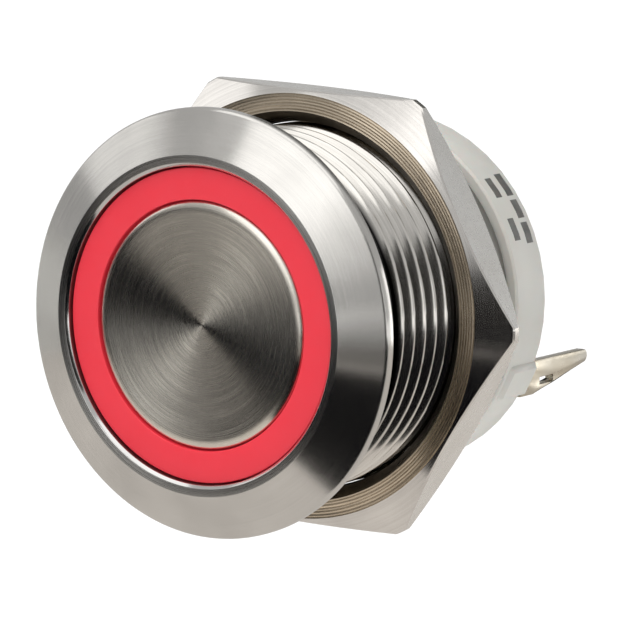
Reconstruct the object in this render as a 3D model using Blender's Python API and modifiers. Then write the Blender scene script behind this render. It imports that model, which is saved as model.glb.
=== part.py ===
"""Panel-mounted push button with an illuminated ring, 19 mm thread size.

Metres, +Z up. The button's axis is world Y and its front faces -Y. The origin is on the
axis, in the plane where the flange rests on the front of the panel. Depths are measured
along the axis from the front plane of the bezel, towards the rear.
"""

from math import cos, pi, radians, sin, tan

import bmesh
import bpy
from mathutils import Matrix, Vector

MM = 0.001
NAME = "push_button"

# Driving dimensions, in metres
FLANGE_RADIUS = 11.0 * MM
FLANGE_DEPTH = 1.7 * MM
THREAD_RADIUS = 9.5 * MM
THREAD_ROOT_RADIUS = 8.95 * MM
THREAD_PITCH = 1.0 * MM
THREAD_START = 2.9 * MM
THREAD_TURNS = 11
BARREL_END = 15.3 * MM
BARREL_BORE_RADIUS = 8.25 * MM
BEZEL_BORE_RADIUS = 8.12 * MM
NUT_ACROSS_FLATS = 22.6 * MM
NUT_CORNER_RADIUS = 12.85 * MM
NUT_TURN = -2.5
NUT_FRONT = 8.75 * MM
NUT_THICKNESS = 2.5 * MM
NUT_BORE_RADIUS = 9.62 * MM
CAP_RADIUS = 6.3 * MM
CAP_FRONT = 0.35 * MM
CAP_INNER_FACE = 1.6 * MM
CAP_TRAVEL = 2.0 * MM
RING_OUTER_RADIUS = 7.94 * MM
RING_INNER_RADIUS = 6.48 * MM
RING_FRONT = 0.4 * MM
REAR_CAP_RADIUS = 9.4 * MM
REAR_CAP_FRONT = 15.5 * MM
REAR_CAP_FLOOR = 16.8 * MM
REAR_CAP_END = 18.5 * MM
TERMINAL_TIP = 25.5 * MM
LEVER_DEPTH = 14.2 * MM
LEVER_PIVOT_X = -4.7 * MM
CONTACT_X = 4.5 * MM
STEM_RADIUS = 1.9 * MM
CAP_SKIRT_END = 4.9 * MM
SLOT_GAP = 0.18 * MM
BLADE_X = 7.3 * MM
BLADE_THICKNESS = 0.5 * MM
BLADE_ROOT_TOP = -3.6 * MM
BLADE_ROOT_BOTTOM = -4.7 * MM
FOOT_THICKNESS = 0.4 * MM
TERMINAL_SHOULDER = REAR_CAP_END + 0.25 * MM
NC_BLADE_Z = -6.75 * MM
LED_BLADES = {"led_positive": (-1.6 * MM, 5.7 * MM), "led_negative": (-5.1 * MM, 3.4 * MM)}
LED_BLADE_WIDTH = 1.6 * MM
LEAD_ANGLES = (105.0, 148.0)
LEAD_RADIUS = 7.4 * MM
RIVET_SIDES = 12

# Finishes: colour, roughness and metallic
BEZEL_STEEL = ((0.62, 0.60, 0.57), 0.28, 1.0)
CAP_STEEL = ((0.30, 0.29, 0.30), 0.33, 1.0)
NUT_STEEL = ((0.60, 0.58, 0.54), 0.3, 1.0)
SPRING_STEEL = ((0.55, 0.55, 0.55), 0.3, 1.0)
CLIP_STEEL = ((0.35, 0.34, 0.33), 0.35, 1.0)
TERMINAL_METAL = ((0.70, 0.66, 0.55), 0.3, 1.0)
CONTACT_SILVER = ((0.80, 0.78, 0.74), 0.25, 1.0)
LEVER_COPPER = ((0.72, 0.42, 0.26), 0.3, 1.0)
BLACK_PLASTIC = ((0.09, 0.09, 0.095), 0.5)
WHITE_PLASTIC = ((0.72, 0.71, 0.67), 0.45)

# Resolution
SEGMENTS = 48
SMALL_SEGMENTS = 24
WIRE_STEPS = 12
SHARP_ANGLE = radians(35)


def clear_scene():
    for obj in list(bpy.data.objects):
        bpy.data.objects.remove(obj, do_unlink=True)


def make_collection(name):
    collection = bpy.data.collections.new(name)
    bpy.context.scene.collection.children.link(collection)
    return collection


def make_material(name, color, roughness, metallic=0.0):
    material = bpy.data.materials.new(name)
    material.use_nodes = True
    material.diffuse_color = (*color, 1.0)
    shader = material.node_tree.nodes["Principled BSDF"]
    shader.inputs["Base Color"].default_value = (*color, 1.0)
    shader.inputs["Roughness"].default_value = roughness
    shader.inputs["Metallic"].default_value = metallic
    return material


def place(x, depth, z):
    """World position of a point at a depth behind the front plane."""
    return Vector((x, depth - FLANGE_DEPTH, z))


def polar(radius, degrees):
    """World X and Z of a point around the axis, counted from +X towards +Z."""
    return radius * cos(radians(degrees)), radius * sin(radians(degrees))


def add_object(name, mesh, finish, collection):
    obj = bpy.data.objects.new(name, mesh)
    collection.objects.link(obj)
    if finish:
        obj.data.materials.append(make_material(name, *finish))
    else:
        obj.hide_render = True
        obj.display_type = "WIRE"
    return obj


def turned(name, profile, finish=None, steps=SEGMENTS, x=0.0, z=0.0):
    """Solid of revolution from (radius, depth) points, which end where they start or on the axis."""
    shape = bmesh.new()
    closed = profile[0] == profile[-1]
    rows = []
    for radius, depth in profile[:-1] if closed else profile:
        if radius == 0.0:
            rows.append([shape.verts.new(place(x, depth, z))] * steps)
            continue
        row = []
        for i in range(steps):
            across, up = polar(radius, 360 * i / steps)
            row.append(shape.verts.new(place(x + across, depth, z + up)))
        rows.append(row)
    for near, far in zip(rows, rows[1:] + rows[:1] if closed else rows[1:]):
        for i in range(steps):
            corners = (near[i], near[i - 1], far[i - 1], far[i])
            shape.faces.new(list(dict.fromkeys(corners)))
    bmesh.ops.recalc_face_normals(shape, faces=shape.faces)
    mesh = bpy.data.meshes.new(name)
    shape.to_mesh(mesh)
    shape.free()
    return add_object(name, mesh, finish, MODEL if finish else CUTTERS)


def box(name, low, high, finish=None, turn=0.0):
    """Box between two (x, depth, z) corners, turned about the button's axis by degrees."""
    mesh = bpy.data.meshes.new(name)
    centre = (place(*low) + place(*high)) / 2
    size = place(*high) - place(*low)
    shape = bmesh.new()
    bmesh.ops.create_cube(shape, size=1.0, matrix=Matrix.Diagonal((*size, 1.0)))
    shape.transform(Matrix.Rotation(-radians(turn), 4, "Y") @ Matrix.Translation(centre))
    shape.to_mesh(mesh)
    shape.free()
    return add_object(name, mesh, finish, MODEL if finish else CUTTERS)


def plate(name, outline, thickness, axes, finish=None):
    """Flat plate. The outline holds 2D points, and axes maps (u, v, height) to world."""
    curve = bpy.data.curves.new(name, "CURVE")
    curve.dimensions = "2D"
    curve.fill_mode = "BOTH"
    curve.extrude = thickness / 2
    spline = curve.splines.new("POLY")
    spline.points.add(len(outline) - 1)
    for point, (u, v) in zip(spline.points, outline):
        point.co = (u, v, 0.0, 1.0)
    spline.use_cyclic_u = True
    obj = bpy.data.objects.new(name, curve)
    MODEL.objects.link(obj)
    obj.matrix_world = axes
    return curve_to_mesh(obj, finish)


def curve_to_mesh(obj, finish):
    """Replaces a curve object with the closed mesh that it draws."""
    name = obj.name
    bpy.context.view_layer.update()
    graph = bpy.context.evaluated_depsgraph_get()
    mesh = bpy.data.meshes.new_from_object(obj.evaluated_get(graph))
    mesh.transform(obj.matrix_world)
    bpy.data.objects.remove(obj, do_unlink=True)
    shape = bmesh.new()
    shape.from_mesh(mesh)
    bmesh.ops.remove_doubles(shape, verts=shape.verts, dist=1e-7)
    bmesh.ops.recalc_face_normals(shape, faces=shape.faces)
    shape.to_mesh(mesh)
    shape.free()
    mesh.name = name
    return add_object(name, mesh, finish, MODEL if finish else CUTTERS)


def side_axes(x):
    """Plate axes with u along the depth and v along +Z, at one x."""
    return Matrix.Translation(place(x, 0.0, 0.0)) @ Matrix(
        ((0, 0, 1, 0), (1, 0, 0, 0), (0, 1, 0, 0), (0, 0, 0, 1))
    )


def top_axes(z):
    """Plate axes with u along the depth and v along +X, at one z."""
    return Matrix.Translation(place(0.0, 0.0, z)) @ Matrix(
        ((0, 1, 0, 0), (1, 0, 0, 0), (0, 0, -1, 0), (0, 0, 0, 1))
    )


def cross_axes(depth):
    """Plate axes with u along +X and v along +Z, at one depth."""
    return Matrix.Translation(place(0.0, depth, 0.0)) @ Matrix(
        ((1, 0, 0, 0), (0, 0, -1, 0), (0, 1, 0, 0), (0, 0, 0, 1))
    )


def wire(name, points, diameter, finish):
    """Round wire through the points, with filled ends."""
    curve = bpy.data.curves.new(name, "CURVE")
    curve.dimensions = "3D"
    curve.bevel_depth = diameter / 2
    curve.bevel_resolution = 2
    curve.use_fill_caps = True
    spline = curve.splines.new("POLY")
    spline.points.add(len(points) - 1)
    for point, position in zip(spline.points, points):
        point.co = (*position, 1.0)
    obj = bpy.data.objects.new(name, curve)
    MODEL.objects.link(obj)
    return curve_to_mesh(obj, finish)


def coil(name, radius, diameter, front, rear, turns, finish):
    """Compression spring on the axis, from the front depth to the rear depth."""
    front += diameter / 2
    rear -= diameter / 2
    count = int(turns * WIRE_STEPS)
    points = []
    for i in range(count + 1):
        share = i / count
        # the end turns lie closer together than the working turns
        rise = share - 0.06 * sin(2 * pi * share)
        x, z = polar(radius, 360 * turns * share)
        points.append(place(x, front + (rear - front) * rise, z))
    return wire(name, points, diameter, finish)


def combine(obj, other, operation):
    """Adds a Boolean modifier that cuts, joins or intersects with another object."""
    modifier = obj.modifiers.new(f"{operation.title()} {other.name}", "BOOLEAN")
    modifier.operation = operation
    modifier.solver = "EXACT"
    modifier.object = other
    return obj


def make_bezel_housing():
    """One-piece turned flange, bezel cone, threaded barrel and plain rear collar."""
    lip = 0.16 * MM
    step_depth = 2.4 * MM
    step_radius = 7.65 * MM
    cone_inner = 8.68 * MM
    cone_depth = 1.05 * MM
    rim_depth = 1.45 * MM
    seat_outer = 10.8 * MM
    seal_groove = 10.42 * MM
    groove_floor = FLANGE_DEPTH - 0.35 * MM
    step_end = step_depth + 1.0 * MM
    profile = [
        (BEZEL_BORE_RADIUS, lip),
        (BEZEL_BORE_RADIUS + lip, 0.0),
        (cone_inner, 0.0),
        (FLANGE_RADIUS, cone_depth),
        (FLANGE_RADIUS, rim_depth),
        (seat_outer, FLANGE_DEPTH),
        (seal_groove, FLANGE_DEPTH),
        (seal_groove, groove_floor),
        (THREAD_ROOT_RADIUS, groove_floor),
    ]
    for turn in range(THREAD_TURNS):
        root = THREAD_START + turn * THREAD_PITCH
        profile.append((THREAD_ROOT_RADIUS, root))
        profile.append((THREAD_RADIUS, root + THREAD_PITCH / 2))
    profile += [
        (THREAD_ROOT_RADIUS, THREAD_START + THREAD_TURNS * THREAD_PITCH),
        (THREAD_ROOT_RADIUS, BARREL_END),
        (BARREL_BORE_RADIUS, BARREL_END),
        (BARREL_BORE_RADIUS, step_end),
        (step_radius, step_end),
        (step_radius, step_depth),
        (BEZEL_BORE_RADIUS, step_depth),
        (BEZEL_BORE_RADIUS, lip),
    ]
    return turned("bezel_housing", profile, BEZEL_STEEL)


def make_panel_seal():
    """O-ring that sits in the groove behind the flange."""
    centre = 9.93 * MM
    section = 0.42 * MM
    depth = FLANGE_DEPTH + 0.2 * MM
    sides = 10
    profile = []
    for i in range(sides + 1):
        angle = -2 * pi * (i % sides) / sides
        profile.append((centre + section * cos(angle), depth - section * sin(angle)))
    return turned("panel_seal", profile, ((0.02, 0.02, 0.022), 0.6))


def make_light_ring():
    """Translucent ring that spreads the light of the LEDs, seated on the bezel's step."""
    seat = 2.15 * MM
    guide_radius = 7.4 * MM
    rear = 4.6 * MM
    edge = 0.08 * MM
    profile = [
        (RING_INNER_RADIUS, RING_FRONT + edge),
        (RING_INNER_RADIUS + edge, RING_FRONT),
        (RING_OUTER_RADIUS - edge, RING_FRONT),
        (RING_OUTER_RADIUS, RING_FRONT + edge),
        (RING_OUTER_RADIUS, seat),
        (guide_radius, seat),
        (guide_radius, rear),
        (RING_INNER_RADIUS, rear),
        (RING_INNER_RADIUS, RING_FRONT + edge),
    ]
    return turned("light_ring", profile, ((0.80, 0.10, 0.13), 0.35))


def make_button_cap():
    """Steel cap with a shallow dish, a rounded edge, a skirt and a socket for the stem."""
    edge = 0.2 * MM
    dish = 0.22 * MM
    socket_floor = CAP_INNER_FACE + 0.1 * MM
    skirt_radius = 5.65 * MM
    socket_radius = 2.6 * MM
    socket_end = 3.1 * MM
    socket_bore = 1.9 * MM
    flat_radius = CAP_RADIUS - edge
    profile = [(0.0, CAP_FRONT + dish)]
    for share in (0.25, 0.5, 0.75, 1.0):
        profile.append((flat_radius * share, CAP_FRONT + dish * (1 - share ** 2)))
    for i in range(1, 5):
        angle = pi / 2 * i / 4
        radius = flat_radius + edge * sin(angle)
        profile.append((radius, CAP_FRONT + edge * (1 - cos(angle))))
    profile += [
        (CAP_RADIUS, CAP_SKIRT_END),
        (skirt_radius, CAP_SKIRT_END),
        (skirt_radius, CAP_INNER_FACE),
        (socket_radius, CAP_INNER_FACE),
        (socket_radius, socket_end),
        (socket_bore, socket_end),
        (socket_bore, socket_floor),
        (0.0, socket_floor),
    ]
    return turned("button_cap", profile, CAP_STEEL)


def make_stem():
    """Plunger that carries the cap and pushes the contact lever through a spring."""
    tip_radius = 1.7 * MM
    seal_groove = 1.32 * MM
    clip_groove = 1.4 * MM
    profile = [
        (0.0, 1.95 * MM),
        (tip_radius, 1.95 * MM),
        (tip_radius, 3.4 * MM),
        (STEM_RADIUS, 3.5 * MM),
        (STEM_RADIUS, 6.95 * MM),
        (seal_groove, 6.95 * MM),
        (seal_groove, 7.75 * MM),
        (STEM_RADIUS, 7.75 * MM),
        (STEM_RADIUS, 10.45 * MM),
        (clip_groove, 10.45 * MM),
        (clip_groove, 10.95 * MM),
        (STEM_RADIUS, 10.95 * MM),
        (STEM_RADIUS, 11.25 * MM),
        (STEM_RADIUS - 0.2 * MM, 11.45 * MM),
        (0.0, 11.45 * MM),
    ]
    return turned("stem", profile, BLACK_PLASTIC, SMALL_SEGMENTS)


def make_stem_seal():
    """Small O-ring in the stem's groove."""
    section = 0.29 * MM
    centre = 1.38 * MM + section
    depth = 7.35 * MM
    sides = 8
    profile = []
    for i in range(sides + 1):
        angle = -2 * pi * (i % sides) / sides
        profile.append((centre + section * cos(angle), depth - section * sin(angle)))
    return turned("stem_seal", profile, ((0.25, 0.03, 0.02), 0.6), SMALL_SEGMENTS)


def make_stem_clip():
    """Split ring in the stem's rear groove, which stops the stem against the guide."""
    inner = 1.5 * MM
    outer = 2.9 * MM
    front = 10.55 * MM
    rear = 10.85 * MM
    profile = [(inner, front), (outer, front), (outer, rear), (inner, rear), (inner, front)]
    clip = turned("stem_clip", profile, CLIP_STEEL, SMALL_SEGMENTS)
    gap = box("clip_gap", (-0.55 * MM, 10.0 * MM, 0.0), (0.55 * MM, 11.4 * MM, 4.0 * MM))
    return combine(clip, gap, "DIFFERENCE")


def make_guide_sleeve():
    """Bushing that guides the stem, holds the return spring and backs the LED board."""
    outer = 8.0 * MM
    recess = 6.6 * MM
    well = 5.75 * MM
    boss = 3.0 * MM
    bore = STEM_RADIUS + 0.13 * MM
    rear_bore = 7.0 * MM
    front = 6.5 * MM
    recess_floor = CAP_SKIRT_END + CAP_TRAVEL + 0.45 * MM
    well_floor = 9.3 * MM
    floor_end = 10.2 * MM
    rear = 10.9 * MM
    profile = [
        (recess, front),
        (outer, front),
        (outer, rear),
        (rear_bore, rear),
        (rear_bore, floor_end),
        (bore, floor_end),
        (bore, 5.3 * MM),
        (boss, 5.3 * MM),
        (boss, well_floor),
        (well, well_floor),
        (well, recess_floor),
        (recess, recess_floor),
        (recess, front),
    ]
    sleeve = turned("guide_sleeve", profile, BLACK_PLASTIC)
    for angle in LEAD_ANGLES:
        low = (6.75 * MM, 6.0 * MM, -0.6 * MM)
        high = (8.6 * MM, 11.4 * MM, 0.6 * MM)
        combine(sleeve, box(f"lead_groove_{angle:.0f}", low, high, turn=angle), "DIFFERENCE")
    return sleeve


def make_return_spring():
    """Spring between the well of the guide and the inside of the cap."""
    return coil("return_spring", 4.3 * MM, 0.45 * MM, 1.75 * MM, 9.15 * MM, 6, SPRING_STEEL)


def make_led_board():
    """Ring-shaped board behind the light ring."""
    inner = 6.65 * MM
    outer = 8.0 * MM
    front = 5.6 * MM
    rear = 6.2 * MM
    profile = [(inner, front), (outer, front), (outer, rear), (inner, rear), (inner, front)]
    return turned("led_board", profile, ((0.05, 0.22, 0.09), 0.5))


def make_leds():
    """Chip LEDs, evenly spaced on the board."""
    for i in range(4):
        low = (6.95 * MM, 4.9 * MM, -0.8 * MM)
        high = (7.6 * MM, 5.5 * MM, 0.8 * MM)
        finish = ((0.90, 0.85, 0.55), 0.3)
        chip = box(f"led_{i + 1}", low, high, finish, turn=45 + 90 * i)
        add_bevel(chip, 0.06 * MM)


def make_led_resistor():
    """Chip resistor in series with the LEDs."""
    low = (6.95 * MM, 5.0 * MM, -0.8 * MM)
    high = (7.65 * MM, 5.5 * MM, 0.8 * MM)
    return box("led_resistor", low, high, ((0.05, 0.05, 0.05), 0.4))


def add_bevel(obj, width):
    bevel = obj.modifiers.new("Edges", "BEVEL")
    bevel.width = width
    bevel.segments = 1
    bevel.limit_method = "ANGLE"


def make_hex_nut():
    """Hexagon nut: a turned blank with 30 degree chamfers, cut to six flats."""
    face_radius = 11.1 * MM
    chamfer = (NUT_CORNER_RADIUS - face_radius) * tan(radians(30))
    sink = 0.55 * MM
    rear = NUT_FRONT + NUT_THICKNESS
    profile = [
        (NUT_BORE_RADIUS, NUT_FRONT + sink),
        (NUT_BORE_RADIUS + sink, NUT_FRONT),
        (face_radius, NUT_FRONT),
        (NUT_CORNER_RADIUS, NUT_FRONT + chamfer),
        (NUT_CORNER_RADIUS, rear - chamfer),
        (face_radius, rear),
        (NUT_BORE_RADIUS + sink, rear),
        (NUT_BORE_RADIUS, rear - sink),
        (NUT_BORE_RADIUS, NUT_FRONT + sink),
    ]
    nut = turned("hex_nut", profile, NUT_STEEL, 72)
    mesh = bpy.data.meshes.new("hexagon")
    shape = bmesh.new()
    radius = NUT_ACROSS_FLATS / 2 / cos(pi / 6)
    bmesh.ops.create_cone(
        shape, cap_ends=True, segments=6, radius1=radius, radius2=radius, depth=10 * MM
    )
    # one corner points nearly along +X, so that two flats lie almost level above and below
    corner = max(shape.verts, key=lambda vert: (round(vert.co.x, 7), vert.co.z)).co
    if abs(corner.y) > 1e-6:
        shape.transform(Matrix.Rotation(radians(30), 4, "Z"))
    shape.transform(Matrix.Rotation(radians(NUT_TURN), 4, "Z"))
    shape.transform(Matrix.Rotation(pi / 2, 4, "X"))
    shape.transform(Matrix.Translation(place(0.0, NUT_FRONT + NUT_THICKNESS / 2, 0.0)))
    shape.to_mesh(mesh)
    shape.free()
    return combine(nut, add_object("hexagon", mesh, None, CUTTERS), "INTERSECT")


def make_contact_block():
    """Insulating sleeve inside the barrel, around the contacts."""
    inner = 7.2 * MM
    outer = 7.95 * MM
    front = 11.2 * MM
    rear = 16.0 * MM
    profile = [(inner, front), (outer, front), (outer, rear), (inner, rear), (inner, front)]
    return turned("contact_block", profile, WHITE_PLASTIC)


def make_rear_cap():
    """Plastic cap over the end of the barrel, slotted for the five terminals."""
    inner = 8.3 * MM
    profile = [
        (0.0, REAR_CAP_FLOOR),
        (inner, REAR_CAP_FLOOR),
        (inner, REAR_CAP_FRONT),
        (REAR_CAP_RADIUS - 0.12 * MM, REAR_CAP_FRONT),
        (REAR_CAP_RADIUS, REAR_CAP_FRONT + 0.12 * MM),
        (REAR_CAP_RADIUS, REAR_CAP_END - 0.4 * MM),
        (REAR_CAP_RADIUS - 0.12 * MM, REAR_CAP_END - 0.12 * MM),
        (REAR_CAP_RADIUS - 0.4 * MM, REAR_CAP_END),
        (0.0, REAR_CAP_END),
    ]
    cap = turned("rear_cap", profile, WHITE_PLASTIC)
    for side, angle in (("right", -27.0), ("left", 207.0)):
        low = (8.7 * MM, REAR_CAP_FRONT + 0.3 * MM, -1.05 * MM)
        high = (9.6 * MM, REAR_CAP_END - 0.05 * MM, 1.05 * MM)
        pad = box(f"{side}_pad", low, high, turn=angle)
        add_bevel(pad, 0.25 * MM)
        combine(cap, pad, "UNION")
    front = REAR_CAP_FRONT - 0.5 * MM
    rear = REAR_CAP_END + 1.0 * MM
    half = BLADE_THICKNESS / 2 + SLOT_GAP
    for side in (1, -1):
        low = (side * BLADE_X - half, REAR_CAP_FRONT + 0.45 * MM, BLADE_ROOT_BOTTOM - SLOT_GAP)
        high = (side * BLADE_X + half, rear, BLADE_ROOT_TOP + SLOT_GAP)
        combine(cap, box(f"blade_slot_{side}", low, high), "DIFFERENCE")
    half = FOOT_THICKNESS / 2 + SLOT_GAP
    low = (-0.9 * MM - SLOT_GAP, front, NC_BLADE_Z - half)
    high = (0.9 * MM + SLOT_GAP, rear, NC_BLADE_Z + half)
    combine(cap, box("nc_slot", low, high), "DIFFERENCE")
    for name, (x, z) in LED_BLADES.items():
        wide = LED_BLADE_WIDTH / 2 + SLOT_GAP
        low = (x - wide, front, z - half)
        high = (x + wide, rear, z + half)
        combine(cap, box(f"{name}_slot", low, high), "DIFFERENCE")
    return cap


def blade_outline():
    """Solder blade seen from the side: a narrow root, shoulders and a tapered tip."""
    shoulder = TERMINAL_SHOULDER
    wide_bottom = -5.4 * MM
    taper_start = 20.0 * MM
    nose = 0.35 * MM
    top = BLADE_ROOT_TOP
    outline = [
        (16.2 * MM, BLADE_ROOT_BOTTOM),
        (shoulder, BLADE_ROOT_BOTTOM),
        (shoulder, wide_bottom),
        (taper_start, wide_bottom),
    ]
    centre = Vector((TERMINAL_TIP - nose, top - nose))
    for i in range(6):
        angle = radians(-70 + 160 * i / 5)
        outline.append((centre.x + nose * cos(angle), centre.y + nose * sin(angle)))
    outline.append((16.2 * MM, top))
    return outline


def make_side_terminal(name, side, foot, finish):
    """Solder terminal beside the rim, with a foot that runs inwards to the contact."""
    blade = plate(name, blade_outline(), BLADE_THICKNESS, side_axes(side * BLADE_X), finish)
    outline = [(side * x, z) for x, z in foot]
    helper = plate(f"{name}_foot", outline, FOOT_THICKNESS, cross_axes(16.4 * MM))
    combine(blade, helper, "UNION")
    x = side * BLADE_X
    low = (x - 1.0 * MM, 20.7 * MM, -4.92 * MM)
    high = (x + 1.0 * MM, 22.0 * MM, -4.57 * MM)
    return combine(blade, box(f"{name}_hole", low, high), "DIFFERENCE")


def make_no_terminal():
    """Terminal of the contact that closes when the button is pressed."""
    edge = BLADE_X + BLADE_THICKNESS / 2
    foot = [
        (edge, BLADE_ROOT_BOTTOM),
        (edge, BLADE_ROOT_TOP),
        (5.4 * MM, 0.9 * MM),
        (3.6 * MM, 0.9 * MM),
        (3.6 * MM, -0.9 * MM),
        (6.0 * MM, BLADE_ROOT_BOTTOM),
    ]
    terminal = make_side_terminal("no_terminal", 1, foot, TERMINAL_METAL)
    hole = turned("no_rivet_hole", hole_profile(15.8 * MM, 17.0 * MM), None, RIVET_SIDES, CONTACT_X)
    return combine(terminal, hole, "DIFFERENCE")


def hole_profile(front, rear):
    """Profile of the cutter for a rivet's hole."""
    radius = 0.5 * MM
    return [(0.0, front), (radius, front), (radius, rear), (0.0, rear)]


def make_common_terminal():
    """Terminal of the moving lever, with an upright edge that the lever rocks on."""
    edge = BLADE_X + BLADE_THICKNESS / 2
    reach = -LEVER_PIVOT_X
    foot = [
        (edge, BLADE_ROOT_BOTTOM),
        (edge, BLADE_ROOT_TOP),
        (reach + 0.8 * MM, 0.9 * MM),
        (reach - 0.2 * MM, 0.9 * MM),
        (reach - 0.2 * MM, -0.9 * MM),
        (6.0 * MM, BLADE_ROOT_BOTTOM),
    ]
    terminal = make_side_terminal("common_terminal", -1, foot, TERMINAL_METAL)
    low = (LEVER_PIVOT_X - 0.2 * MM, LEVER_DEPTH + 0.3 * MM, -0.9 * MM)
    high = (LEVER_PIVOT_X + 0.2 * MM, 16.5 * MM, 0.9 * MM)
    return combine(terminal, box("lever_edge", low, high), "UNION")


def make_nc_terminal():
    """Terminal of the contact that is closed at rest, with a shelf ahead of the lever."""
    left = -0.9 * MM
    right = 0.9 * MM
    outline = [
        (12.7 * MM, left),
        (TERMINAL_SHOULDER, left),
        (TERMINAL_SHOULDER, -1.2 * MM),
        (TERMINAL_TIP - 2.4 * MM, -1.2 * MM),
        (TERMINAL_TIP - 0.2 * MM, -0.45 * MM),
        (TERMINAL_TIP, -0.2 * MM),
        (TERMINAL_TIP, 0.2 * MM),
        (TERMINAL_TIP - 0.2 * MM, 0.45 * MM),
        (TERMINAL_TIP - 2.4 * MM, 1.2 * MM),
        (TERMINAL_SHOULDER, 1.2 * MM),
        (TERMINAL_SHOULDER, right),
        (12.7 * MM, right),
    ]
    terminal = plate("nc_terminal", outline, FOOT_THICKNESS, top_axes(NC_BLADE_Z), TERMINAL_METAL)
    shelf = [
        (left, NC_BLADE_Z - FOOT_THICKNESS / 2),
        (right, NC_BLADE_Z - FOOT_THICKNESS / 2),
        (right, -5.6 * MM),
        (5.3 * MM, -1.0 * MM),
        (5.3 * MM, 0.9 * MM),
        (3.8 * MM, 0.9 * MM),
        (3.8 * MM, -1.0 * MM),
        (left, -5.3 * MM),
    ]
    combine(terminal, plate("nc_shelf", shelf, FOOT_THICKNESS, cross_axes(12.9 * MM)), "UNION")
    hole = turned("nc_rivet_hole", hole_profile(12.0 * MM, 13.4 * MM), None, RIVET_SIDES, CONTACT_X)
    combine(terminal, hole, "DIFFERENCE")
    low = (-0.3 * MM, 20.4 * MM, NC_BLADE_Z - 1.0 * MM)
    high = (0.3 * MM, 22.0 * MM, NC_BLADE_Z + 1.0 * MM)
    return combine(terminal, box("nc_blade_hole", low, high), "DIFFERENCE")


def make_led_terminals():
    """Short blades that feed the LED board."""
    half = LED_BLADE_WIDTH / 2
    root = 15.6 * MM
    tip = 23.5 * MM
    taper_start = tip - 1.2 * MM
    tip_half = 0.3 * MM
    for name, (x, z) in LED_BLADES.items():
        outline = [
            (root, x - half),
            (taper_start, x - half),
            (tip, x - tip_half),
            (tip, x + tip_half),
            (taper_start, x + half),
            (root, x + half),
        ]
        blade = plate(f"{name}_terminal", outline, FOOT_THICKNESS, top_axes(z), TERMINAL_METAL)
        low = (x - 0.25 * MM, 20.6 * MM, z - 1.0 * MM)
        high = (x + 0.25 * MM, 21.6 * MM, z + 1.0 * MM)
        combine(blade, box(f"{name}_hole", low, high), "DIFFERENCE")


def make_led_leads():
    """Insulated leads from the back of the board to the LED terminals."""
    colors = {"led_positive": (0.65, 0.05, 0.04), "led_negative": (0.03, 0.03, 0.035)}
    for (name, (x, z)), angle in zip(LED_BLADES.items(), LEAD_ANGLES):
        board = polar(LEAD_RADIUS, angle)
        inside = polar(6.45 * MM, angle)
        points = [
            place(board[0], 6.4 * MM, board[1]),
            place(board[0], 8.2 * MM, board[1]),
            place(board[0], 9.6 * MM, board[1]),
            place(inside[0], 11.2 * MM, inside[1]),
            place((inside[0] + x) / 2, 13.3 * MM, (inside[1] + z) / 2),
            place(x, 14.6 * MM, z),
            place(x, 15.4 * MM, z),
        ]
        wire(f"{name}_lead", points, 0.55 * MM, (colors[name], 0.45))


def make_contact_lever():
    """Copper lever that rocks on the common terminal."""
    half_width = 1.1 * MM
    left = LEVER_PIVOT_X - 0.5 * MM
    outline = [
        (left, -half_width),
        (4.6 * MM, -half_width),
        (5.3 * MM, -0.5 * MM),
        (5.3 * MM, 0.5 * MM),
        (4.6 * MM, half_width),
        (left, half_width),
    ]
    axes = cross_axes(LEVER_DEPTH)
    lever = plate("contact_lever", outline, 0.3 * MM, axes, LEVER_COPPER)
    pivot = place(LEVER_PIVOT_X, LEVER_DEPTH, 0.0)
    lever.data.transform(Matrix.Translation(-pivot))
    lever.location = pivot
    front = LEVER_DEPTH - 1.0 * MM
    rear = LEVER_DEPTH + 1.0 * MM
    hole = turned("lever_rivet_hole", hole_profile(front, rear), None, RIVET_SIDES, CONTACT_X)
    return combine(lever, hole, "DIFFERENCE")


def rivet_profile(front, front_face, rear_face, rear):
    """Domed head in front of a strip, a shank through it, and a head behind it."""
    head = 0.8 * MM
    crown = 0.45 * MM
    shank = 0.38 * MM
    edge = 0.12 * MM
    return [
        (0.0, front),
        (crown, front),
        (head, front + edge),
        (head, front_face),
        (shank, front_face),
        (shank, rear_face),
        (head, rear_face),
        (head, rear - edge),
        (crown, rear),
        (0.0, rear),
    ]


def make_contacts():
    """Silver contacts: one through the lever and one on each fixed terminal."""
    rivets = {
        "moving_contact": (13.66 * MM, 13.95 * MM, 14.45 * MM, 14.74 * MM),
        "nc_contact": (12.3 * MM, 12.6 * MM, 13.2 * MM, 13.52 * MM),
        "no_contact": (15.86 * MM, 16.1 * MM, 16.65 * MM, 16.75 * MM),
    }
    for name, depths in rivets.items():
        profile = rivet_profile(*depths)
        if name == "no_contact":
            # its shank ends flush, because the rear cap's floor lies close behind
            profile = profile[:5] + [(0.38 * MM, depths[2]), (0.0, depths[2])]
        turned(name, profile, CONTACT_SILVER, RIVET_SIDES, CONTACT_X)


def make_contact_springs():
    """Springs on both sides of the lever."""
    coil("actuating_spring", 1.2 * MM, 0.25 * MM, 11.55 * MM, 13.95 * MM, 4, SPRING_STEEL)
    coil("lever_return_spring", 1.0 * MM, 0.22 * MM, 14.45 * MM, 16.7 * MM, 4, SPRING_STEEL)


def shade_round_pieces():
    """Smooth shading on every piece, with its real edges kept sharp."""
    for obj in MODEL.objects:
        obj.data.shade_smooth()
        obj.data.set_sharp_from_angle(angle=SHARP_ANGLE)


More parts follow.
